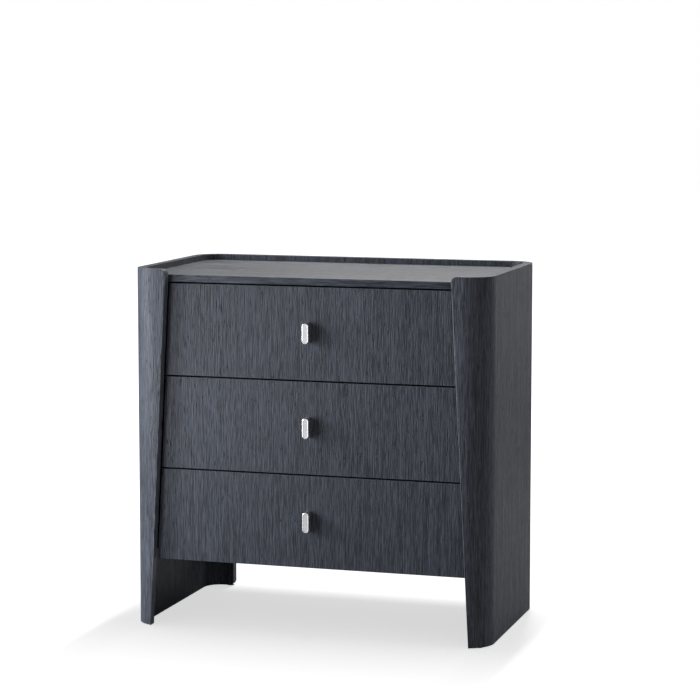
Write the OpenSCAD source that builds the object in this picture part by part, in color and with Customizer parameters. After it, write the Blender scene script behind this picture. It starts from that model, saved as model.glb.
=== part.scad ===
// Nightstand with three drawers between two curved side shells.
// Millimetres. X is the width, -Y the front, +Z up, origin on the floor under
// the middle of the outer box.

/* [Overall size] */
// Width over the two side shells
width = 650; // [560:1:760]
// Depth of the side shells, front plane to back plane
depth = 366; // [320:1:460]
// Height from the floor to the top of the rim
height = 636; // [520:1:760]

/* [Side shells] */
// Thickness of a side shell
shell_t = 16; // [12:0.5:22]
// Outer radius of a side shell's two vertical corners
shell_r = 48; // [36:1:70]
// Half distance between the front returns at the very top
return_top = 257.2; // [240:0.1:275]
// Half distance between the front returns at the floor
return_foot = 290.5; // [270:0.5:300]
// Half distance between the back returns
back_return = 261; // [240:0.5:272]
// Radius of a front return's upper inner corner
return_corner_r = 9; // [4:0.5:16]
// Radius of a back return's lower inner corner
back_corner_r = 8; // [4:0.5:16]

/* [Top] */
// Height of the rim above the top panel
rim = 10; // [4:0.5:20]
// Thickness of the top panel
top_t = 12.5; // [9:0.5:20]

/* [Drawer fronts] */
// Thickness of a drawer front
front_t = 18; // [14:0.5:22]
// Height of a drawer front
front_h = 162.2; // [120:0.1:190]
// Gap between two drawer fronts
front_gap = 2.6; // [1.5:0.1:5]
// Gap between a drawer front and the side returns
side_gap = 2.7; // [1.5:0.1:5]

/* [Drawer boxes] */
// Thickness of a drawer box's sides, back and inner front
board_t = 12; // [9:0.5:16]
// Height of a drawer box
box_h = 120; // [80:1:130]
// Length of a drawer box, front to back
box_len = 300; // [250:1:300]
// Thickness of a drawer bottom
bottom_t = 6; // [3:0.5:9]
// Depth of the groove that holds a drawer bottom
groove = 6; // [4:0.5:8]

/* [Carcass] */
// Half distance between the inner side panels
inner_x = 256; // [240:0.5:258]
// Thickness of the inner sides and the carcass bottom's side fixing
inner_t = 16; // [12:0.5:18]
// Thickness of the carcass bottom
floor_t = 12; // [9:0.5:18]
// Thickness of the back panel
back_t = 16; // [12:0.5:16]

/* [Runners] */
// Thickness of a drawer runner, all three members nested
runner_t = 12.7; // [12:0.1:14]
// Height of a drawer runner
runner_h = 45; // [35:1:46]
// Sheet thickness of a runner member
sheet = 1.2; // [1:0.1:1.6]
// Length of a runner
runner_len = 298; // [250:1:300]

/* [Knobs] */
// Width of a knob
knob_w = 12.2; // [10:0.1:20]
// Height of a knob
knob_h = 36.2; // [25:0.5:60]
// Projection of a knob from the drawer front
knob_p = 18; // [12:0.5:25]
// Height of a knob's middle above the middle of its drawer front
knob_rise = 1.8; // [0:0.1:30]

/* [Floor glides] */
// Height of a floor glide under a side shell
glide_h = 1; // [1:0.5:6]
// Radius of a floor glide
glide_r = 6.5; // [4:0.5:7.5]

/* [Hidden] */
// the knobs stand a little proud of the shells, so the shells sit behind the middle
knob_proud = knob_p - shell_t;
y_front = -(depth + knob_proud) / 2 + knob_proud;
y_back = y_front + depth;
y_in = y_front + shell_t;
y_inb = y_back - shell_t;
half = width / 2;
half_in = half - shell_t;
r_in = shell_r - shell_t;
cx = half - shell_r;
cyf = y_front + shell_r;
cyb = y_back - shell_r;
z_top = height - rim;
z_under = z_top - top_t;
z1 = z_under - front_gap - front_h;
z2 = z1 - front_gap - front_h;
z3 = z2 - front_gap - front_h;
slope = (return_foot - return_top) / height;
y_ff = y_in;
y_fb = y_ff + front_t;
z_body = z3 + 2;
y_side = y_fb + 1;
box_x = inner_x - runner_t;
box_rise = 16;
y_be = y_fb + box_len;
run_z = box_rise + box_h / 2;
knob_z = front_h / 2 + knob_rise;
screw_r = 2;
screw_c = 2.1;
glides = [[cx + (shell_r - shell_t / 2) * sin(45), cyf - (shell_r - shell_t / 2) * sin(45)],
          [half - shell_t / 2, 1],
          [back_return + 9, y_back - shell_t / 2]];
batten_z = [z_body + 22, z3 + 160, z2 + 160, z_under - 20];
fixing_y = [-85, 90];
dowel_y = [-85, 0, 85];
dowel_z = [180, 380, 580];
runner_y = [-130, -10, 120];
col_wood = [0.20, 0.21, 0.24];
col_core = [0.16, 0.16, 0.18];
col_board = [0.72, 0.62, 0.46];
col_steel = [0.66, 0.67, 0.68];
col_nickel = [0.80, 0.79, 0.76];
col_black = [0.07, 0.07, 0.07];
col_beech = [0.80, 0.66, 0.48];

// half distance between the front returns at height z
function edge_x(z) = return_foot - slope * z;

// a box between two corners
module span(a, b) {
  translate(a) cube(b - a);
}

// rod along +X or -X from a point
module rod_x(p, r, l, d = 1) {
  translate(p) rotate([0, 90 * d, 0]) cylinder(r = r, h = l, $fn = 48);
}

// rod along +Y from a point
module rod_y(p, r, l) {
  translate(p) rotate([-90, 0, 0]) cylinder(r = r, h = l, $fn = 48);
}

// rectangle with four rounded corners, in plan
module plan_round(hx, ya, yb, r) {
  union() {
    translate([-hx + r, ya]) square([2 * (hx - r), yb - ya]);
    translate([-hx, ya + r]) square([2 * hx, yb - ya - 2 * r]);
    for (x = [-hx + r, hx - r]) for (y = [ya + r, yb - r])
      translate([x, y]) circle(r = r, $fn = 96);
  }
}

// what is cut from a front return, seen from the front: everything inside the
// slanting edge, and the waste outside the rounded upper corner
module return_waste() {
  a = atan(slope);
  zc = height - return_corner_r;
  xc = edge_x(zc) + return_corner_r / cos(a);
  tx = xc - return_corner_r * cos(a);
  tz = zc - return_corner_r * sin(a);
  union() {
    polygon([[200, -20], [edge_x(-20), -20], [edge_x(height + 20), height + 20], [200, height + 20]]);
    difference() {
      polygon([[tx - 3, tz], [tx, tz], [xc, zc], [xc, height + 5], [tx - 3, height + 5]]);
      translate([xc, zc]) circle(r = return_corner_r, $fn = 96);
    }
  }
}

// what is cut from a back return: everything inside its upright edge, and the
// waste outside the rounded lower corner
module back_waste() {
  union() {
    translate([200, -20]) square([back_return - 200, height + 40]);
    difference() {
      translate([back_return - 3, glide_h - 5]) square([back_corner_r + 3, back_corner_r + 5]);
      translate([back_return + back_corner_r, glide_h + back_corner_r]) circle(r = back_corner_r, $fn = 96);
    }
  }
}

// one side shell, on the +X side: C-shaped in plan, standing to the floor
module shell() {
  difference() {
    translate([0, 0, glide_h]) linear_extrude(height = height - glide_h) intersection() {
      difference() {
        plan_round(half, y_front, y_back, shell_r);
        plan_round(half_in, y_in, y_inb, r_in);
      }
      translate([220, y_front - 5]) square([half, depth + 10]);
    }
    translate([0, y_front + 60, 0]) rotate([90, 0, 0]) linear_extrude(height = 120) return_waste();
    translate([0, y_back + 60, 0]) rotate([90, 0, 0]) linear_extrude(height = 120) back_waste();
    for (y = fixing_y) for (z = batten_z)
      rod_x([half_in - 1, y, z], 2.6, 12.5);
    for (y = dowel_y)
      rod_x([half_in - 1, y, z_top - top_t / 2], 3.05, 12);
    for (z = dowel_z)
      rod_x([back_return - 1, y_back - back_t / 2, z], 4.05, 16.5);
    for (g = glides)
      translate([g[0], g[1], glide_h - 1]) cylinder(r = 1.3, h = 10, $fn = 48);
  }
}

module left_side_shell() { color(col_wood) mirror([1, 0, 0]) shell(); }
module right_side_shell() { color(col_wood) shell(); }

module top_panel() {
  color(col_wood) difference() {
    translate([0, 0, z_under]) linear_extrude(height = top_t) plan_round(half_in, y_in, y_inb, r_in);
    for (y = dowel_y) for (d = [-1, 1])
      rod_x([d * (half_in + 1), y, z_top - top_t / 2], 3.05, 14, -d);
  }
}

module back_panel() {
  color(col_wood) difference() {
    span([-back_return, y_back - back_t, z_body], [back_return, y_back, height]);
    for (z = dowel_z) for (d = [-1, 1])
      rod_x([d * (back_return + 1), y_back - back_t / 2, z], 4.05, 16.5, -d);
  }
}

module carcass_bottom() {
  color(col_core) difference() {
    span([-inner_x, y_side, z_body], [inner_x, y_inb, z_body + floor_t]);
    for (y = [-125, 125]) for (d = [-1, 1])
      rod_x([d * (inner_x + 1), y, z_body + floor_t / 2], 2.5, 30, -d);
  }
}

// inner side panel on the +X side, which carries the runners
module inner_side() {
  difference() {
    span([inner_x, y_side, z_body], [inner_x + inner_t, y_inb, z_under]);
    for (y = fixing_y) for (z = batten_z) {
      rod_x([inner_x - 1, y, z], 2.6, inner_t + 2);
      translate([inner_x, y, z]) rotate([0, 90, 0]) cylinder(r1 = 4.8, r2 = 2.6, h = 2.8, $fn = 48);
    }
    for (y = [-125, 125]) {
      rod_x([inner_x - 1, y, z_body + floor_t / 2], 2.5, inner_t + 2);
      translate([inner_x + inner_t, y, z_body + floor_t / 2]) rotate([0, -90, 0]) cylinder(r1 = 4.6, r2 = 2.5, h = 2.8, $fn = 48);
    }
    for (z = [z1, z2, z3]) for (y = runner_y)
      rod_x([inner_x - 1, y, z + run_z], screw_c, 14);
  }
}

module left_inner_side() { color(col_core) mirror([1, 0, 0]) inner_side(); }
module right_inner_side() { color(col_core) inner_side(); }

// four battens that hold the inner side off the side shell, +X side
module battens() {
  difference() {
    for (z = batten_z)
      span([inner_x + inner_t, -115, z - 18], [half_in, 120, z + 18]);
    for (y = fixing_y) for (z = batten_z)
      rod_x([inner_x + inner_t - 1, y, z], 2.6, half_in - inner_x - inner_t + 2);
  }
}

module left_battens() { color(col_beech) mirror([1, 0, 0]) battens(); }
module right_battens() { color(col_beech) battens(); }

module floor_glides() {
  color(col_black) for (d = [0, 1]) mirror([d, 0, 0]) for (g = glides)
    translate([g[0], g[1], 0]) union() {
      cylinder(r = glide_r, h = glide_h, $fn = 48);
      cylinder(r = 1.2, h = glide_h + 8, $fn = 48);
    }
}

// soft buttons that each drawer front closes on
module drawer_bumpers() {
  color(col_black) for (d = [-1, 1]) for (z = [z1, z2, z3])
    rod_y([d * (inner_x + 3.9), y_fb, z + 18], 3.5, y_side - y_fb);
}

module top_dowels() {
  color(col_beech) for (d = [-1, 1]) for (y = dowel_y)
    rod_x([d * (half_in + 10), y, z_top - top_t / 2], 3, 22, -d);
}

module back_dowels() {
  color(col_beech) for (d = [-1, 1]) for (z = dowel_z)
    rod_x([d * (back_return + 15), y_back - back_t / 2, z], 4, 30, -d);
}

// countersunk screw along X: head face at x, point towards d
module screw_x(x, y, z, d, r, hr, l) {
  translate([x, y, z]) rotate([0, 90 * d, 0]) union() {
    cylinder(r1 = hr, r2 = r, h = 2.7, $fn = 48);
    cylinder(r = r, h = l, $fn = 48);
  }
}

module side_screws() {
  color(col_steel) for (d = [-1, 1]) for (y = fixing_y) for (z = batten_z)
    screw_x(d * inner_x, y, z, d, 2.5, 4.6, half_in - inner_x + 10);
}

module bottom_screws() {
  color(col_steel) for (d = [-1, 1]) for (y = [-125, 125])
    screw_x(d * (inner_x + inner_t), y, z_body + floor_t / 2, -d, 2.4, 4.4, 44);
}

// pan-head screw along X: head starts at x and points towards d
module pan_x(x, y, z, d, l) {
  translate([x, y, z]) rotate([0, 90 * d, 0]) union() {
    cylinder(r = 3.6, h = 1.5, $fn = 48);
    cylinder(r = screw_r, h = 1.5 + l, $fn = 48);
  }
}

// screws that hold the cabinet members of the runners to the inner sides
module runner_screws() {
  color(col_steel) for (d = [-1, 1]) for (z = [z1, z2, z3]) for (y = runner_y)
    pan_x(d * (inner_x - sheet - 1.5), y, z + run_z, d, 13);
}

// channel section extruded along Y: web at depth u0, flanges to u1, lip height
module channel(u0, u1, h, lip, back) {
  wu = back ? u1 - sheet : u0;
  union() {
    span([wu, 0, -h], [wu + sheet, runner_len, h]);
    for (m = [0, 1]) mirror([0, 0, m]) {
      span([u0, 0, h - sheet], [u1, runner_len, h]);
      if (lip > 0) span([u1 - sheet, 0, h - lip], [u1, runner_len, h]);
    }
  }
}

// a runner member placed on the +X side, u counted from the inner side inwards
module place_runner(z) {
  translate([inner_x, y_side, z + run_z]) mirror([1, 0, 0]) children();
}

module cabinet_member(z) {
  color(col_steel) for (d = [0, 1]) mirror([d, 0, 0]) difference() {
    place_runner(z) channel(0, 11.2, runner_h / 2, 3.4, false);
    for (y = runner_y) rod_x([inner_x - 6, y, z + run_z], screw_c, 8);
  }
}

module middle_member(z) {
  color(col_steel) for (d = [0, 1]) mirror([d, 0, 0])
    place_runner(z) channel(3.2, 11.2, 17.4, 0, false);
}

module drawer_member(z) {
  color(col_steel) for (d = [0, 1]) mirror([d, 0, 0]) difference() {
    place_runner(z) channel(5.4, runner_t, 12.4, 0, true);
    for (y = runner_y) rod_x([box_x - 2, y, z + run_z], screw_c, 8);
  }
}

module runner_1_cabinet() { cabinet_member(z1); }
module runner_2_cabinet() { cabinet_member(z2); }
module runner_3_cabinet() { cabinet_member(z3); }
module runner_1_middle() { middle_member(z1); }
module runner_2_middle() { middle_member(z2); }
module runner_3_middle() { middle_member(z3); }

// drawer front: wider towards the floor, following the returns
module front(z) {
  color(col_wood) difference() {
    translate([0, y_fb, 0]) rotate([90, 0, 0]) linear_extrude(height = front_t)
      polygon([[-edge_x(z) + side_gap, z], [edge_x(z) - side_gap, z],
               [edge_x(z + front_h) - side_gap, z + front_h], [-edge_x(z + front_h) + side_gap, z + front_h]]);
    rod_y([0, y_ff - 1, z + knob_z], 2.2, front_t + 2);
    for (x = [-170, 170]) for (s = [30, box_h - 14])
      rod_y([x, y_fb - 12, z + box_rise + s], screw_c, 13);
  }
}

module inner_front(z) {
  color(col_board) difference() {
    span([-box_x + board_t, y_fb, z + box_rise], [box_x - board_t, y_fb + board_t, z + box_rise + box_h]);
    span([-box_x + 1, y_fb + board_t - groove, z + box_rise + 8], [box_x - 1, y_fb + board_t + 1, z + box_rise + 8 + bottom_t]);
    rod_y([0, y_fb - 1, z + knob_z], 2.2, board_t + 2);
    for (x = [-170, 170]) for (s = [30, box_h - 14])
      rod_y([x, y_fb - 1, z + box_rise + s], screw_c, board_t + 2);
  }
}

// drawer side on the +X side
module box_side(z) {
  difference() {
    span([box_x - board_t, y_fb, z + box_rise], [box_x, y_be, z + box_rise + box_h]);
    span([box_x - board_t - 1, y_fb + board_t - groove, z + box_rise + 8],
         [box_x - board_t + groove, y_be - board_t + groove, z + box_rise + 8 + bottom_t]);
    for (y = runner_y) rod_x([box_x - 9.5, y, z + run_z], screw_c, 10);
  }
}

module box_back(z) {
  color(col_board) difference() {
    span([-box_x + board_t, y_be - board_t, z + box_rise], [box_x - board_t, y_be, z + box_rise + box_h]);
    span([-box_x + 1, y_be - board_t - 1, z + box_rise + 8], [box_x - 1, y_be - board_t + groove, z + box_rise + 8 + bottom_t]);
  }
}

module box_bottom(z) {
  color(col_board) span([-box_x + board_t - groove, y_fb + board_t - groove, z + box_rise + 8],
    [box_x - board_t + groove, y_be - board_t + groove, z + box_rise + 8 + bottom_t]);
}

// upright pill knob
module knob(z) {
  color(col_nickel) difference() {
    translate([0, y_ff, z + knob_z]) rotate([90, 0, 0]) linear_extrude(height = knob_p) union() {
      square([knob_w, knob_h - knob_w], center = true);
      for (s = [-1, 1]) translate([0, s * (knob_h - knob_w) / 2]) circle(d = knob_w, $fn = 96);
    }
    rod_y([0, y_ff - 10, z + knob_z], 2.1, 11);
  }
}

module knob_screw(z) {
  color(col_steel) union() {
    rod_y([0, y_fb + board_t, z + knob_z], 4, 2.2);
    rod_y([0, y_ff - 9, z + knob_z], screw_r, 9 + front_t + board_t + 1);
  }
}

module front_screws(z) {
  color(col_steel) for (x = [-170, 170]) for (s = [30, box_h - 14]) union() {
    rod_y([x, y_fb + board_t, z + box_rise + s], 3.6, 1.8);
    rod_y([x, y_fb - 11, z + box_rise + s], screw_r, 11 + board_t + 1);
  }
}

// screws that hold the drawer members of the runners to the drawer sides
module box_runner_screws(z) {
  color(col_steel) for (d = [-1, 1]) for (y = runner_y)
    pan_x(d * (box_x + sheet + 1.5), y, z + run_z, -d, 9.5);
}

module drawer_1_front() { front(z1); }
module drawer_1_inner_front() { inner_front(z1); }
module drawer_1_left() { color(col_board) mirror([1, 0, 0]) box_side(z1); }
module drawer_1_right() { color(col_board) box_side(z1); }
module drawer_1_back() { box_back(z1); }
module drawer_1_bottom() { box_bottom(z1); }
module drawer_1_knob() { knob(z1); }
module drawer_1_knob_screw() { knob_screw(z1); }
module drawer_1_front_screws() { front_screws(z1); }
module drawer_1_runner() { drawer_member(z1); }
module drawer_1_runner_screws() { box_runner_screws(z1); }
module drawer_2_front() { front(z2); }
module drawer_2_inner_front() { inner_front(z2); }
module drawer_2_left() { color(col_board) mirror([1, 0, 0]) box_side(z2); }
module drawer_2_right() { color(col_board) box_side(z2); }
module drawer_2_back() { box_back(z2); }
module drawer_2_bottom() { box_bottom(z2); }
module drawer_2_knob() { knob(z2); }
module drawer_2_knob_screw() { knob_screw(z2); }
module drawer_2_front_screws() { front_screws(z2); }
module drawer_2_runner() { drawer_member(z2); }
module drawer_2_runner_screws() { box_runner_screws(z2); }
module drawer_3_front() { front(z3); }
module drawer_3_inner_front() { inner_front(z3); }
module drawer_3_left() { color(col_board) mirror([1, 0, 0]) box_side(z3); }
module drawer_3_right() { color(col_board) box_side(z3); }
module drawer_3_back() { box_back(z3); }
module drawer_3_bottom() { box_bottom(z3); }
module drawer_3_knob() { knob(z3); }
module drawer_3_knob_screw() { knob_screw(z3); }
module drawer_3_front_screws() { front_screws(z3); }
module drawer_3_runner() { drawer_member(z3); }
module drawer_3_runner_screws() { box_runner_screws(z3); }

left_side_shell();
right_side_shell();
top_panel();
back_panel();
carcass_bottom();
left_inner_side();
right_inner_side();
left_battens();
right_battens();
floor_glides();
drawer_bumpers();
top_dowels();
back_dowels();
side_screws();
bottom_screws();
runner_screws();
runner_1_cabinet();
runner_2_cabinet();
runner_3_cabinet();
runner_1_middle();
runner_2_middle();
runner_3_middle();
drawer_1_front();
drawer_1_inner_front();
drawer_1_left();
drawer_1_right();
drawer_1_back();
drawer_1_bottom();
drawer_1_knob();
drawer_1_knob_screw();
drawer_1_front_screws();
drawer_1_runner();
drawer_1_runner_screws();
drawer_2_front();
drawer_2_inner_front();
drawer_2_left();
drawer_2_right();
drawer_2_back();
drawer_2_bottom();
drawer_2_knob();
drawer_2_knob_screw();
drawer_2_front_screws();
drawer_2_runner();
drawer_2_runner_screws();
drawer_3_front();
drawer_3_inner_front();
drawer_3_left();
drawer_3_right();
drawer_3_back();
drawer_3_bottom();
drawer_3_knob();
drawer_3_knob_screw();
drawer_3_front_screws();
drawer_3_runner();
drawer_3_runner_screws();
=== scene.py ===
import math
import bpy
import bmesh
from mathutils import Vector, Matrix


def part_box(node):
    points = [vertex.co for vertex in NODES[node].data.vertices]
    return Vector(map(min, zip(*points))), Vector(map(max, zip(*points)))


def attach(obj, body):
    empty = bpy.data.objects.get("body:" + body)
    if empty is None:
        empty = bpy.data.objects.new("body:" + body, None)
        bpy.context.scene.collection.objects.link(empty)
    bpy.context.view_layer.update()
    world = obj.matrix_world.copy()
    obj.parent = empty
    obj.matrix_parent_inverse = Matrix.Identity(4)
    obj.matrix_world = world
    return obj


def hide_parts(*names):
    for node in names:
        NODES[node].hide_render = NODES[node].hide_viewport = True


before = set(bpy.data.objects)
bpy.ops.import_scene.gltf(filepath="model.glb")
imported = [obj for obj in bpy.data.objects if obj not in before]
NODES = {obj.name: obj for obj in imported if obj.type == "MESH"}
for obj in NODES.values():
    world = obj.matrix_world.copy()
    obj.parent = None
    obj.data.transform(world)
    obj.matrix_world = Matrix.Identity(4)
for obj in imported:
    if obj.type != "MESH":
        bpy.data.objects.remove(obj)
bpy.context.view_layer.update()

# ---------------------------------------------------------------- dimensions
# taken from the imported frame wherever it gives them
sh_lo, sh_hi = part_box("right_side_shell")
XO = sh_hi.x                      # outer face of the right shell
YF, YB = sh_lo.y, sh_hi.y         # front and back planes of the shells
Z0, ZH = sh_lo.z, sh_hi.z         # shell foot and rim
T = 0.016                         # shell thickness
RO = 0.048                        # outer corner radius
RI = RO - T
CX = XO - RO
CYF, CYB = YF + RO, YB - RO
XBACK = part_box("back_panel")[1].x  # half distance between the back returns
TOP_END, FOOT_END = 0.2572, 0.2905
SLOPE = (FOOT_END - TOP_END) / ZH


def edge_x(z):
    return FOOT_END - SLOPE * z


# ------------------------------------------------------------ node utilities
def new_mat(name):
    m = bpy.data.materials.new(name)
    m.use_nodes = True
    nt = m.node_tree
    for n in list(nt.nodes):
        nt.nodes.remove(n)
    out = nt.nodes.new("ShaderNodeOutputMaterial")
    bs = nt.nodes.new("ShaderNodeBsdfPrincipled")
    nt.links.new(bs.outputs["BSDF"], out.inputs["Surface"])
    return m, nt, bs


def add(nt, kind, **props):
    n = nt.nodes.new(kind)
    for k, v in props.items():
        setattr(n, k, v)
    return n


def coords(nt, scale, offset=(0, 0, 0), src=None):
    """object coordinates, or src, scaled per axis"""
    mp = add(nt, "ShaderNodeMapping")
    mp.inputs["Scale"].default_value = scale
    mp.inputs["Location"].default_value = offset
    if src is None:
        tc = add(nt, "ShaderNodeTexCoord")
        src = tc.outputs["Object"]
    nt.links.new(src, mp.inputs["Vector"])
    return mp.outputs["Vector"]


def noise(nt, vec, scale=1.0, detail=2.0, rough=0.5, distortion=0.0):
    n = add(nt, "ShaderNodeTexNoise")
    n.inputs["Scale"].default_value = scale
    n.inputs["Detail"].default_value = detail
    n.inputs["Roughness"].default_value = rough
    n.inputs["Distortion"].default_value = distortion
    nt.links.new(vec, n.inputs["Vector"])
    return n.outputs["Fac"]


def mrange(nt, val, a, b, c, d, smooth=False):
    n = add(nt, "ShaderNodeMapRange")
    if smooth:
        n.interpolation_type = "SMOOTHSTEP"
    n.inputs["From Min"].default_value = a
    n.inputs["From Max"].default_value = b
    n.inputs["To Min"].default_value = c
    n.inputs["To Max"].default_value = d
    nt.links.new(val, n.inputs["Value"])
    return n.outputs["Result"]


def math_(nt, op, a, b=None, clamp=False):
    n = add(nt, "ShaderNodeMath", operation=op, use_clamp=clamp)
    for i, v in enumerate((a, b)):
        if v is None:
            continue
        if isinstance(v, (int, float)):
            n.inputs[i].default_value = v
        else:
            nt.links.new(v, n.inputs[i])
    return n.outputs[0]


def mix_col(nt, fac, a, b, blend="MIX"):
    n = add(nt, "ShaderNodeMix", data_type="RGBA", blend_type=blend)
    n.clamp_factor = True
    if isinstance(fac, (int, float)):
        n.inputs[0].default_value = fac
    else:
        nt.links.new(fac, n.inputs[0])
    for i, v in ((6, a), (7, b)):
        if isinstance(v, tuple):
            n.inputs[i].default_value = (*v, 1.0)
        else:
            nt.links.new(v, n.inputs[i])
    return n.outputs[2]


def bump(nt, height, strength, distance, bs, normal=None):
    n = add(nt, "ShaderNodeBump")
    n.inputs["Strength"].default_value = strength
    n.inputs["Distance"].default_value = distance
    nt.links.new(height, n.inputs["Height"])
    if normal is not None:
        nt.links.new(normal, n.inputs["Normal"])
    if bs is not None:
        nt.links.new(n.outputs["Normal"], bs.inputs["Normal"])
    return n.outputs["Normal"]


# ------------------------------------------------------------------ materials
def veneer(name, axis, dark, light, pore, seed, rough=(0.38, 0.56), spec=0.30, relief=0.0012,
           figure=(0.05, 0.05)):
    """stained, wire-brushed open-grain veneer; axis is the grain's direction"""
    m, nt, bs = new_mat(name)
    L = nt.links

    def sc(across, along):
        return tuple(along if i == axis else across for i in range(3))

    # slow wander of the grain lines
    w = noise(nt, coords(nt, sc(6.0, 1.6), (seed, seed * 0.7, seed * 1.3)), detail=1.0)
    w = mrange(nt, w, 0.0, 1.0, -0.003, 0.003)
    tc = add(nt, "ShaderNodeTexCoord")
    comb = add(nt, "ShaderNodeCombineXYZ")
    for i, k in enumerate("XYZ"):
        if i != axis:
            L.new(w, comb.inputs[k])
    va = add(nt, "ShaderNodeVectorMath", operation="ADD")
    L.new(tc.outputs["Object"], va.inputs[0])
    L.new(comb.outputs[0], va.inputs[1])
    p = va.outputs[0]

    off = (seed * 3.1, seed * 1.7, seed * 2.3)
    band = noise(nt, coords(nt, sc(34.0, 1.1), off, p), detail=2.5, rough=0.55)
    leaf = noise(nt, coords(nt, sc(120.0, 7.0), off, p), detail=2.0, rough=0.5)
    streak = noise(nt, coords(nt, sc(540.0, 8.5), off, p), detail=2.0, rough=0.60)
    fleck = noise(nt, coords(nt, sc(700.0, 42.0), off, p), detail=1.0, rough=0.45)
    fine = noise(nt, coords(nt, sc(1150.0, 40.0), off, p), detail=2.0, rough=0.55)
    blot = noise(nt, coords(nt, (5.0, 5.0, 5.0), off), detail=2.0)

    flat = figure[0] >= 0.2           # the top: its broad figure shows, seen low
    long_ = noise(nt, coords(nt, sc(34.0, 7.5) if flat else sc(56.0, 7.0), off, p), detail=3.0, rough=0.60)
    v = math_(nt, "MULTIPLY", mrange(nt, streak, 0.32, 0.68, 0.0, 1.0), 0.08 if flat else 0.36)
    v = math_(nt, "ADD", v, math_(nt, "MULTIPLY", mrange(nt, fleck, 0.30, 0.70, 0.0, 1.0), 0.12 if flat else 0.42))
    if flat:
        v = math_(nt, "ADD", v, math_(nt, "MULTIPLY", mrange(nt, long_, 0.40, 0.60, 0.0, 1.0), 0.36))
    v = math_(nt, "ADD", v, math_(nt, "MULTIPLY", mrange(nt, leaf, 0.30, 0.70, 0.0, 1.0), figure[0]))
    v = math_(nt, "ADD", v, math_(nt, "MULTIPLY", mrange(nt, band, 0.32, 0.68, 0.0, 1.0), figure[1]))
    v = math_(nt, "ADD", v, math_(nt, "MULTIPLY", mrange(nt, blot, 0.35, 0.65, 0.0, 1.0), 0.05))
    v = math_(nt, "ADD", v, math_(nt, "MULTIPLY", mrange(nt, fine, 0.30, 0.70, 0.0, 1.0), 0.09), clamp=True)
    ramp = add(nt, "ShaderNodeValToRGB")
    cr = ramp.color_ramp
    cr.elements[0].position, cr.elements[0].color = 0.29, (*dark, 1)
    cr.elements[1].position, cr.elements[1].color = 0.73, (*light, 1)
    e = cr.elements.new(0.50)
    e.color = tuple(0.60 * a + 0.40 * b for a, b in zip(dark, light)) + (1,)
    L.new(v, ramp.inputs[0])

    # open pores: short dark slits that follow the grain
    pr = noise(nt, coords(nt, sc(640.0, 62.0), (seed, seed, seed), p), detail=1.0, rough=0.4)
    gate = noise(nt, coords(nt, sc(110.0, 16.0), (seed * 2, seed, seed), p), detail=1.0)
    pores = mrange(nt, pr, 0.36, 0.28, 0.0, 1.0, smooth=True)
    pores = math_(nt, "MULTIPLY", pores, mrange(nt, gate, 0.36, 0.56, 0.25, 1.0))
    col = mix_col(nt, math_(nt, "MULTIPLY", pores, 0.85), ramp.outputs[0], pore)

    L.new(col, bs.inputs["Base Color"])

    fig = math_(nt, "ADD", math_(nt, "MULTIPLY", leaf, 0.35), math_(nt, "MULTIPLY", long_, 0.65))
    mid = math_(nt, "ADD", math_(nt, "MULTIPLY", streak, 0.5), math_(nt, "MULTIPLY", leaf, 0.5))
    r = mrange(nt, fig if flat else mid, 0.32, 0.68, rough[0], rough[1])
    r = math_(nt, "ADD", r, math_(nt, "MULTIPLY", pores, 0.2), clamp=True)
    L.new(r, bs.inputs["Roughness"])
    bs.inputs["Specular IOR Level"].default_value = spec
    h = math_(nt, "ADD", math_(nt, "MULTIPLY", streak, 0.35), math_(nt, "MULTIPLY", fleck, 0.60))
    h = math_(nt, "ADD", h, math_(nt, "MULTIPLY", fine, 0.15))
    h = math_(nt, "SUBTRACT", h, math_(nt, "MULTIPLY", pores, 0.45))
    if flat:
        h = math_(nt, "ADD", h, math_(nt, "MULTIPLY", fig, 1.0))
    bump(nt, h, 0.85, relief, bs)
    return m


def plain_board(name, axis, dark, light, seed, rough=0.45):
    """light lacquered drawer-box timber"""
    m, nt, bs = new_mat(name)
    L = nt.links

    def sc(across, along):
        return tuple(along if i == axis else across for i in range(3))
    off = (seed, seed * 2.1, seed * 0.6)
    ring = noise(nt, coords(nt, sc(38.0, 1.1), off), detail=4.0, rough=0.6, distortion=0.6)
    fib = noise(nt, coords(nt, sc(520.0, 12.0), off), detail=3.0, rough=0.6)
    ray = noise(nt, coords(nt, sc(260.0, 40.0), off), detail=1.0)
    v = math_(nt, "ADD", math_(nt, "MULTIPLY", mrange(nt, ring, 0.3, 0.7, 0, 1), 0.60),
              math_(nt, "MULTIPLY", mrange(nt, fib, 0.25, 0.75, 0, 1), 0.40), clamp=True)
    col = mix_col(nt, v, dark, light)
    dash = mrange(nt, ray, 0.66, 0.74, 0.0, 0.45, smooth=True)
    col = mix_col(nt, dash, col, tuple(c * 0.55 for c in dark))
    L.new(col, bs.inputs["Base Color"])
    L.new(mrange(nt, fib, 0.2, 0.8, rough - 0.07, rough + 0.12), bs.inputs["Roughness"])
    bump(nt, fib, 0.25, 0.0003, bs)
    return m


def metal(name, col, rough, axis, brushed=900.0, metallic=1.0, bumps=0.08):
    m, nt, bs = new_mat(name)
    L = nt.links
    scl = tuple(12.0 if i == axis else brushed for i in range(3))
    br = noise(nt, coords(nt, scl), detail=3.0, rough=0.6)
    cl = noise(nt, coords(nt, (45.0, 45.0, 45.0)), detail=3.0)
    L.new(mix_col(nt, mrange(nt, cl, 0.3, 0.7, 0.0, 1.0), tuple(c * 0.93 for c in col), tuple(min(1, c * 1.04) for c in col)),
          bs.inputs["Base Color"])
    bs.inputs["Metallic"].default_value = metallic
    r = math_(nt, "ADD", mrange(nt, br, 0.2, 0.8, rough - 0.05, rough + 0.07),
              mrange(nt, cl, 0.3, 0.7, -0.03, 0.03))
    L.new(r, bs.inputs["Roughness"])
    bump(nt, br, bumps, 0.0001, bs)
    return m


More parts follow.
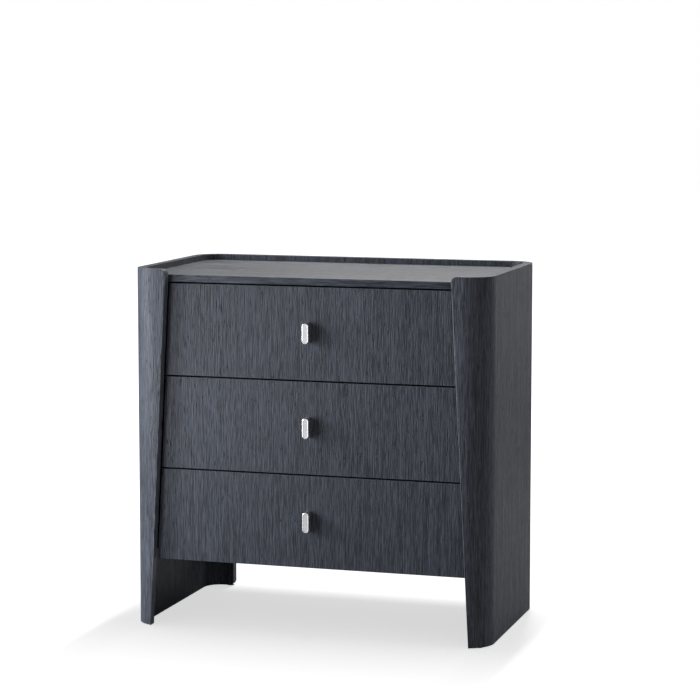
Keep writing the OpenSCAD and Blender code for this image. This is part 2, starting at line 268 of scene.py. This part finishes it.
def plastic(name, col, rough):
    m, nt, bs = new_mat(name)
    L = nt.links
    n = noise(nt, coords(nt, (900.0, 900.0, 900.0)), detail=3.0)
    c = noise(nt, coords(nt, (30.0, 30.0, 30.0)), detail=3.0)
    L.new(mix_col(nt, c, tuple(x * 0.8 for x in col), tuple(x * 1.25 for x in col)), bs.inputs["Base Color"])
    L.new(mrange(nt, c, 0.3, 0.7, rough - 0.06, rough + 0.06), bs.inputs["Roughness"])
    bump(nt, n, 0.2, 0.0002, bs)
    return m


DARK, LIGHT, PORE = (0.0078, 0.0092, 0.0131), (0.0405, 0.0459, 0.0618), (0.0030, 0.0035, 0.0050)
M_SHELL = veneer("veneer_shell", 2, DARK, LIGHT, PORE, 1.7, rough=(0.34, 0.60), relief=0.0014,
                 figure=(0.11, 0.06))
M_FRONT = [veneer("veneer_front_%d" % i, 2, DARK, LIGHT, PORE, 4.3 + 3.9 * i) for i in range(3)]
M_BACK = veneer("veneer_back", 2, DARK, LIGHT, PORE, 21.3)
M_TOP = veneer("veneer_top", 0, (0.0034, 0.0040, 0.0058), (0.050, 0.056, 0.071), PORE, 31.9, rough=(0.34, 0.66), spec=0.42,
               relief=0.0010, figure=(0.20, 0.14))
# veneer_painted_highlight is a copy of the veneer about three times lighter. It goes on the front returns' end faces
# and eased inner arrises and on every bevel of the shells: a painted highlight along the arrises, and painted light on
# the end faces, which lie in shade
M_ARRIS_HIGHLIGHT = veneer("veneer_painted_highlight", 2, (0.030, 0.034, 0.040), (0.120, 0.130, 0.150), (0.012, 0.013, 0.016), 12.4, rough=(0.34, 0.5))
# veneer_soft_painted_highlight is a lighter copy of the veneer for the bevels of the drawer fronts and the back panel:
# a softer painted highlight along their arrises
M_SOFT_HIGHLIGHT = veneer("veneer_soft_painted_highlight", 2, (0.014, 0.016, 0.021), (0.062, 0.069, 0.086), (0.006, 0.007, 0.009), 15.8)
M_BAND = veneer("veneer_band", 0, (0.0090, 0.0106, 0.0150), (0.0455, 0.0515, 0.0690), PORE, 27.7)
M_CORE = veneer("carcass_foil", 2, (0.0240, 0.0250, 0.0290), (0.0420, 0.0440, 0.0500), (0.012, 0.012, 0.014), 41.0,
                rough=(0.5, 0.62), spec=0.35)
M_BOX_X = plain_board("drawer_box_x", 0, (0.34, 0.255, 0.165), (0.52, 0.42, 0.30), 3.0)
M_BOX_Y = plain_board("drawer_box_y", 1, (0.33, 0.25, 0.16), (0.51, 0.41, 0.29), 8.0)
M_BEECH = plain_board("beech", 1, (0.42, 0.27, 0.15), (0.60, 0.42, 0.25), 14.0, rough=0.6)
M_NICKEL = metal("satin_nickel", (0.865, 0.85, 0.82), 0.30, 2, bumps=0.03)
# the knob face is a much darker copy of the nickel, so that it reads darker than the bright lip: painted shade
M_FACE_SHADE = metal("nickel_face_painted_shade", (0.51, 0.505, 0.50), 0.48, 2, bumps=0.02)
M_ZINC = metal("zinc_steel", (0.62, 0.63, 0.64), 0.34, 0)
M_RUNNER = metal("runner_steel", (0.56, 0.57, 0.59), 0.36, 1, bumps=0.03)
M_BLACK = plastic("black_plastic", (0.02, 0.02, 0.021), 0.55)


# --------------------------------------------------------------- mesh helpers
def make(name, verts, faces, mat, body, stands_for, bevel=0.0, seg=3, angle=38, edge=None, at_edge=None):
    me = bpy.data.meshes.new(name)
    me.from_pydata([tuple(v) for v in verts], [], faces)
    me.validate()
    bm = bmesh.new()
    bm.from_mesh(me)
    bmesh.ops.remove_doubles(bm, verts=bm.verts, dist=1e-6)
    bmesh.ops.recalc_face_normals(bm, faces=bm.faces)
    bm.to_mesh(me)
    bm.free()
    for p in me.polygons:
        p.use_smooth = True
    o = bpy.data.objects.new(name, me)
    bpy.context.scene.collection.objects.link(o)
    me.materials.append(mat)
    if edge is not None:
        me.materials.append(edge)
        for p in me.polygons:
            if at_edge is not None and at_edge(p.center):
                p.material_index = 1
    if bevel > 0:
        b = o.modifiers.new("arris", "BEVEL")
        b.width = bevel
        b.segments = seg
        b.limit_method = "ANGLE"
        b.angle_limit = math.radians(angle)
        b.use_clamp_overlap = True
        b.harden_normals = True
        b.miter_outer = "MITER_ARC"
        # the bevel takes the second material; on the shells, drawer fronts and back panel that is a lighter veneer, a
        # painted highlight along the arrises
        if edge is not None:
            b.material = 1
    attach(o, body)
    if stands_for:
        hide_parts(*stands_for)
    return o


EASE_N = 4


def contour(zone_r, y_front, y_back, x_front, x_back, n_f, n_s, n_b, ease):
    """plan line of one face of a shell, from the front return's end round the
    side to the back return's end; zone_r is that face's corner radius"""
    xo = CX + zone_r
    # front part: flat piece (if any) then the arc, evenly spaced by length
    a0 = 0.0
    flat = CX - x_front
    if flat < 0:
        a0 = math.asin(min(1.0, -flat / zone_r))
        flat = 0.0
    arc = (math.pi / 2 - a0) * zone_r
    pts = [(x_front + ease * (1 - math.sin(math.pi / 2 * i / EASE_N)), y_front + ease * (1 - math.cos(math.pi / 2 * i / EASE_N)))
           for i in range(EASE_N, 0, -1)] if ease > 0 else [(x_front, y_front)] * EASE_N
    for i in range(n_f + 1):
        s = ease + (flat + arc - ease) * i / n_f
        if s <= flat:
            pts.append((x_front + s, y_front))
        else:
            a = a0 + (s - flat) / zone_r
            pts.append((CX + zone_r * math.sin(a), CYF - zone_r * math.cos(a)))
    for i in range(1, n_s):
        y = CYF + (CYB - CYF) * i / n_s
        pts.append((xo, y))
    flat = max(0.0, CX - x_back)
    arc = math.pi / 2 * zone_r
    for i in range(n_b + 1):
        s = (flat + arc) * i / n_b
        if s <= arc:
            a = s / zone_r
            pts.append((CX + zone_r * math.cos(a), CYB + zone_r * math.sin(a)))
        else:
            pts.append((CX - (s - arc), y_back))
    return pts


def build_shell(side):
    n_f, n_s, n_b = 26, 8, 24
    rf, rb = 0.009, 0.008          # front upper and back lower corner radii
    a = math.atan(SLOPE)
    zc = ZH - rf
    xc = edge_x(zc) + rf / math.cos(a)
    zt = zc - rf * math.sin(a)
    k_bot, k_mid, k_top = 7, 22, 8
    levels = []                    # (front end z, front end x, back end z, back end x, general z)
    for k in range(k_bot):
        psi = math.pi / 2 * (1 - k / k_bot)
        zb_ = Z0 + rb - rb * math.sin(psi)
        xb_ = XBACK + rb - rb * math.cos(psi)
        zg = Z0 + rb * k / k_bot
        levels.append((zg, edge_x(zg), zb_, xb_, zg))
    for k in range(k_mid + 1):
        z = Z0 + rb + (zt - Z0 - rb) * k / k_mid
        levels.append((z, edge_x(z), z, XBACK, z))
    for k in range(1, k_top + 1):
        th = -a + (math.pi / 2 + a) * k / k_top
        zf = zc + rf * math.sin(th)
        xf = xc - rf * math.cos(th)
        zg = zt + (ZH - zt) * k / k_top
        levels.append((zf, xf, zg, XBACK, zg))
    rings = []
    for zf, xf, zb_, xb_, zg in levels:
        loop = []
        for r, yf_, yb_, ease in ((RO, YF, YB, 0.0013), (RI, YF + T, YB - T, 0.0)):
            pts = contour(r, yf_, yb_, xf, xb_, n_f, n_s, n_b, ease)
            n = len(pts)
            out = []
            for i, (x, y) in enumerate(pts):
                # the end points follow their rounded corner; further along the
                # contour the rings are level
                wf = max(0.0, 1.0 - max(0, i - EASE_N) / 3.0)
                wb = max(0.0, 1.0 - (n - 1 - i) / 3.0)
                z = zg + (zf - zg) * wf + (zb_ - zg) * wb
                out.append(Vector((x, y, z)))
            loop.append(out)
        rings.append(loop)
    n = len(rings[0][0])
    verts, idx = [], {}
    for k, (outer, inner) in enumerate(rings):
        for j, row in enumerate((outer, inner)):
            for i, v in enumerate(row):
                idx[(k, j, i)] = len(verts)
                verts.append(Vector((v.x * side, v.y, v.z)))
    faces = []
    K = len(rings)
    for k in range(K - 1):
        for i in range(n - 1):
            faces.append([idx[(k, 0, i)], idx[(k, 0, i + 1)], idx[(k + 1, 0, i + 1)], idx[(k + 1, 0, i)]])
            faces.append([idx[(k, 1, i + 1)], idx[(k, 1, i)], idx[(k + 1, 1, i)], idx[(k + 1, 1, i + 1)]])
        for i in (0, n - 1):
            faces.append([idx[(k, 0, i)], idx[(k + 1, 0, i)], idx[(k + 1, 1, i)], idx[(k, 1, i)]])
    for k in (0, K - 1):
        for i in range(n - 1):
            faces.append([idx[(k, 0, i)], idx[(k, 0, i + 1)], idx[(k, 1, i + 1)], idx[(k, 1, i)]])
    name = "right" if side > 0 else "left"

    # the front return's end face and its eased inner arris take the lighter veneer: painted light and a painted
    # highlight
    def at_painted_highlight(c):
        return c.y < YF + T - 0.001 and abs(c.x) < edge_x(c.z) + 0.0013 and c.z < zt
    return make(name + "_shell_veneered", verts, faces, M_SHELL, "carcass", [name + "_side_shell"],
                bevel=0.0007, seg=3, edge=M_ARRIS_HIGHLIGHT, at_edge=at_painted_highlight)


build_shell(1)
SHELL_L = build_shell(-1)


def plate(name, outline, axis, a, b, mat, body, stands_for, bevel, seg=3, edge=None, at_edge=None):
    """a flat board: an outline (list of 2D points) between two planes a and b
    along axis"""
    n = len(outline)

    def put(p, w):
        if axis == 2:
            return Vector((p[0], p[1], w))
        if axis == 1:
            return Vector((p[0], w, p[1]))
        return Vector((w, p[0], p[1]))
    verts = [put(p, a) for p in outline] + [put(p, b) for p in outline]
    faces = [list(range(n)), list(range(2 * n - 1, n - 1, -1))]
    faces += [[i, (i + 1) % n, n + (i + 1) % n, n + i] for i in range(n)]
    return make(name, verts, faces, mat, body, stands_for, bevel, seg, edge=edge, at_edge=at_edge)


def rect(u0, v0, u1, v1):
    return [(u0, v0), (u1, v0), (u1, v1), (u0, v1)]


def rounded(u0, v0, u1, v1, r, n=14):
    pts = []
    for cx, cy, a0 in ((u1 - r, v0 + r, -90), (u1 - r, v1 - r, 0), (u0 + r, v1 - r, 90), (u0 + r, v0 + r, 180)):
        for i in range(n + 1):
            t = math.radians(a0 + 90 * i / n)
            pts.append((cx + r * math.cos(t), cy + r * math.sin(t)))
    return pts


# top panel: rounded corners, sits inside the rim with a hairline at its edge
lo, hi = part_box("top_panel")
hair = 0.0003
plate("top_panel_veneered", rounded(lo.x + hair, lo.y, hi.x - hair, hi.y - hair, RI - hair, 16), 2, lo.z, hi.z, M_TOP,
      "carcass", ["top_panel"], 0.0006, edge=M_BAND,
      at_edge=lambda c, y=lo.y: c.y < y + 0.0002)

# back panel: its top is the back rim, with a fine seam to each return
lo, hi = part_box("back_panel")
# its bevels take the lighter veneer: a painted highlight along the arrises
plate("back_panel_veneered", rect(lo.x + 0.00025, lo.z, hi.x - 0.00025, hi.z), 1, lo.y, hi.y, M_BACK,
      "carcass", ["back_panel"], 0.0006, edge=M_SOFT_HIGHLIGHT)


# drawer fronts: upright trapezoids with softened arrises
def half_at(z):
    return edge_x(z) - 0.0027


for i in (1, 2, 3):
    n = "drawer_%d_front" % i
    lo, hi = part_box(n)
    zs = [lo.z, hi.z]
    out = [(-half_at(zs[0]), zs[0]), (half_at(zs[0]), zs[0]), (half_at(zs[1]), zs[1]), (-half_at(zs[1]), zs[1])]
    # their bevels take the lighter veneer: a painted highlight along the arrises
    plate(n + "_veneered", out, 1, lo.y, hi.y, M_FRONT[i - 1], "drawer_%d" % i, [n], 0.0007, edge=M_SOFT_HIGHLIGHT)


# knobs: upright pills, a flat face set a hair behind a turned, rounded lip, on a thin foot
def knob(i):
    n = "drawer_%d_knob" % i
    lo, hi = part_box(n)
    cz, w, h = (lo.z + hi.z) / 2, hi.x - lo.x, hi.z - lo.z
    yb, yf = hi.y, lo.y
    p = yb - yf
    r = w / 2
    half = (h - w) / 2
    seg = 20

    def ring(inset, y):
        rr = r - inset
        pts = []
        for s, a0 in ((1, 0.0), (-1, math.pi)):
            for k in range(seg + 1):
                t = a0 + math.pi * k / seg
                pts.append(Vector((rr * math.cos(t), y, cz + s * half + rr * math.sin(t))))
        return pts
    prof = [(0.0004, yb), (0.0, yb - 0.0005), (0.0, yf + 0.0016)]
    for k in range(1, 8):             # rounded lip
        t = math.pi / 2 * k / 7
        prof.append((0.0012 * (1 - math.cos(t)), yf + 0.0016 - 0.0016 * math.sin(t)))
    prof += [(0.0016, yf + 0.00001), (0.0019, yf + 0.00006), (0.0021, yf + 0.0001), (0.0025, yf + 0.0001), (0.0045, yf + 0.0001), (0.0060, yf + 0.0001)]
    rings = [ring(a, y) for a, y in prof]
    m = len(rings[0])
    verts = [v for rg in rings for v in rg]
    faces = []
    for k in range(len(rings) - 1):
        for j in range(m):
            faces.append([k * m + j, k * m + (j + 1) % m, (k + 1) * m + (j + 1) % m, (k + 1) * m + j])
    faces.append(list(range(m)))
    faces.append(list(range((len(rings) - 1) * m, len(rings) * m))[::-1])

    def on_face(c):
        dz = max(0.0, abs(c.z - cz) - half)
        return math.hypot(c.x, dz) < r - 0.0019 and c.y < yf + 0.001
    # the face takes the darker nickel: painted shade on the face
    o = make(n + "_cast", verts, faces, M_NICKEL, "drawer_%d" % i, [n], edge=M_FACE_SHADE, at_edge=on_face)
    return o


for i in (1, 2, 3):
    knob(i)


# ------------------------------------------- materials on the kept CAD nodes
def finish_node(name, mat, bevel=0.0):
    o = NODES[name]
    o.data.materials.clear()
    o.data.materials.append(mat)
    if bevel > 0:
        b = o.modifiers.new("arris", "BEVEL")
        b.width = bevel
        b.segments = 2
        b.limit_method = "ANGLE"
        b.angle_limit = math.radians(50)
        b.harden_normals = True


for n in NODES:
    if n in ("carcass_bottom", "left_inner_side", "right_inner_side"):
        finish_node(n, M_CORE)
    elif "battens" in n:
        finish_node(n, M_CORE)
    elif "dowels" in n:
        finish_node(n, M_BEECH)
    elif n in ("floor_glides", "drawer_bumpers"):
        finish_node(n, M_BLACK)
    elif "screw" in n:
        finish_node(n, M_ZINC)
    elif "runner" in n:
        finish_node(n, M_RUNNER)
    elif n.endswith(("_inner_front", "_back")) and n.startswith("drawer"):
        finish_node(n, M_BOX_X, 0.0009)
    elif n.startswith("drawer") and n.endswith(("_left", "_right")):
        finish_node(n, M_BOX_Y, 0.0009)
    elif n.startswith("drawer") and n.endswith("_bottom"):
        finish_node(n, M_BOX_X)

# ---------------------------------------------------------------------- stage
FLOOR_GLOW = 0.635
scene = bpy.context.scene

def ground(name, half, z):
    me = bpy.data.meshes.new(name)
    me.from_pydata([(-half, -half, z), (half, -half, z), (half, half, z), (-half, half, z)], [], [[0, 1, 2, 3]])
    o = bpy.data.objects.new(name, me)
    scene.collection.objects.link(o)
    return o


# the white floor that is seen: its own glow rises to pure white away from the
# object, and near it a soft overhead light leaves the object's shadow
floor = ground("studio_floor", 15.0, 0.0)
m, nt, bs = new_mat("floor_pale")
fl = noise(nt, coords(nt, (0.6, 0.6, 0.6)), detail=2.0)
nt.links.new(mix_col(nt, fl, (0.86, 0.86, 0.86), (0.875, 0.875, 0.875)), bs.inputs["Base Color"])
bs.inputs["Roughness"].default_value = 0.9
bs.inputs["Specular IOR Level"].default_value = 0.0
bs.inputs["Emission Color"].default_value = (1, 1, 1, 1)
geo = add(nt, "ShaderNodeNewGeometry")
ln = add(nt, "ShaderNodeVectorMath", operation="LENGTH")
nt.links.new(geo.outputs["Position"], ln.inputs[0])
nt.links.new(mrange(nt, ln.outputs["Value"], 0.50, 1.30, FLOOR_GLOW, 1.0, smooth=True), bs.inputs["Emission Strength"])
floor.data.materials.append(m)
for flag in ("visible_diffuse", "visible_glossy", "visible_transmission", "visible_volume_scatter", "visible_shadow"):
    setattr(floor, flag, False)

# the mid-grey floor that lights the object from below, as a studio floor does
# before it is cleared to white
bounce = ground("studio_bounce", 15.0, -0.0004)
m, nt, bs = new_mat("floor_bounce")
fl = noise(nt, coords(nt, (0.6, 0.6, 0.6)), detail=2.0)
nt.links.new(mix_col(nt, fl, (0.33, 0.33, 0.33), (0.35, 0.35, 0.35)), bs.inputs["Base Color"])
bs.inputs["Roughness"].default_value = 0.95
bs.inputs["Specular IOR Level"].default_value = 0.0
bounce.data.materials.append(m)
bounce.visible_camera = False

only_floor = bpy.data.collections.new("lights_only_floor")
only_floor.objects.link(floor)
not_floor = bpy.data.collections.new("lights_not_floor")
not_floor.objects.link(floor)
not_floor.collection_objects[0].light_linking.link_state = "EXCLUDE"


only_left = bpy.data.collections.new("lights_only_left_shell")
only_left.objects.link(SHELL_L)


def area(name, loc, target, size, power, color=(1, 1, 1), receivers=None):
    ld = bpy.data.lights.new(name, "AREA")
    ld.shape = "RECTANGLE"
    ld.size, ld.size_y = size
    ld.energy = power
    ld.color = color
    o = bpy.data.objects.new(name, ld)
    scene.collection.objects.link(o)
    o.location = loc
    o.rotation_euler = (Vector(target) - Vector(loc)).to_track_quat("-Z", "Y").to_euler()
    o.visible_camera = False
    o.light_linking.receiver_collection = not_floor if receivers is None else receivers
    return o


KEY_TINT = (0.955, 0.995, 1.06)
area("key_side", (-1.6, -0.6, 0.8), (-0.3, -0.1, 0.4), (0.8, 1.2), 15.8, KEY_TINT)
area("key_far", (-2.4, -1.2, 1.2), (-0.2, 0, 0.4), (1.0, 1.2), 88.5, KEY_TINT)
area("key_strip", (-0.7, -0.9, 0.35), (-0.3, -0.15, 0.4), (0.3, 0.5), 4.7, KEY_TINT)
area("return_strip", (-0.80, -0.62, 0.34), (-0.30, -0.15, 0.30), (0.15, 0.30), 0.95, KEY_TINT, receivers=only_left)
area("top_back", (0.2, 1.3, 2.2), (0, 0, 0.6), (2.2, 1.2), 57.7)
area("top_rim", (0, 2.8, 1.0), (0, 0, 0.7), (3.5, 1.8), 1.2)
area("fill_right", (2.0, 0.9, 0.8), (0.3, 0.1, 0.35), (0.9, 1.4), 0.6)
area("fill_back", (2.4, 1.7, 1.6), (0.3, 0.1, 0.45), (0.8, 0.8), 27.1)
area("side_sheen", (0.85, 3.2, 0.5), (0.32, 0.0, 0.35), (0.5, 1.0), 1.9)
area("fill_front", (1.8, -2.4, 1.0), (0.25, 0.0, 0.35), (0.8, 1.2), 13.1)
area("floor_strip", (0.0, 1.1, 4.0), (0.0, 1.0999, 0.0), (0.15, 2.6), 75.0, receivers=only_floor)

world = bpy.data.worlds.new("studio")
scene.world = world
world.use_nodes = True
wn = world.node_tree
for n in list(wn.nodes):
    wn.nodes.remove(n)
wout = wn.nodes.new("ShaderNodeOutputWorld")
w_light = wn.nodes.new("ShaderNodeBackground")
w_light.inputs["Color"].default_value = (1, 1, 1, 1)
w_light.inputs["Strength"].default_value = 0.229
w_seen = wn.nodes.new("ShaderNodeBackground")
w_seen.inputs["Color"].default_value = (1, 1, 1, 1)
w_seen.inputs["Strength"].default_value = 1.0
w_path = wn.nodes.new("ShaderNodeLightPath")
w_mix = wn.nodes.new("ShaderNodeMixShader")
wn.links.new(w_path.outputs["Is Camera Ray"], w_mix.inputs[0])
wn.links.new(w_light.outputs[0], w_mix.inputs[1])
wn.links.new(w_seen.outputs[0], w_mix.inputs[2])
wn.links.new(w_mix.outputs[0], wout.inputs["Surface"])

# --------------------------------------------------------------------- camera
cam_d = bpy.data.cameras.new("camera")
cam = bpy.data.objects.new("camera", cam_d)
scene.collection.objects.link(cam)
cam_d.sensor_width = 36.0
cam_d.lens = 2351.15 / 700.0 * 36.0
cam_d.shift_x = 0.0
cam_d.shift_y = 315.0 / 700.0 - 0.5
cam_d.clip_end = 100.0
cam.location = (1.25799, -3.99438 + 0.001, 0.9815)
cam.rotation_euler = (math.radians(90.0 - 5.94), 0.0, math.radians(17.17))
scene.camera = cam
bpy.context.scene.camera = cam
scene.view_settings.view_transform = "Standard"
scene.view_settings.look = "None"
scene.view_settings.exposure = 0.0
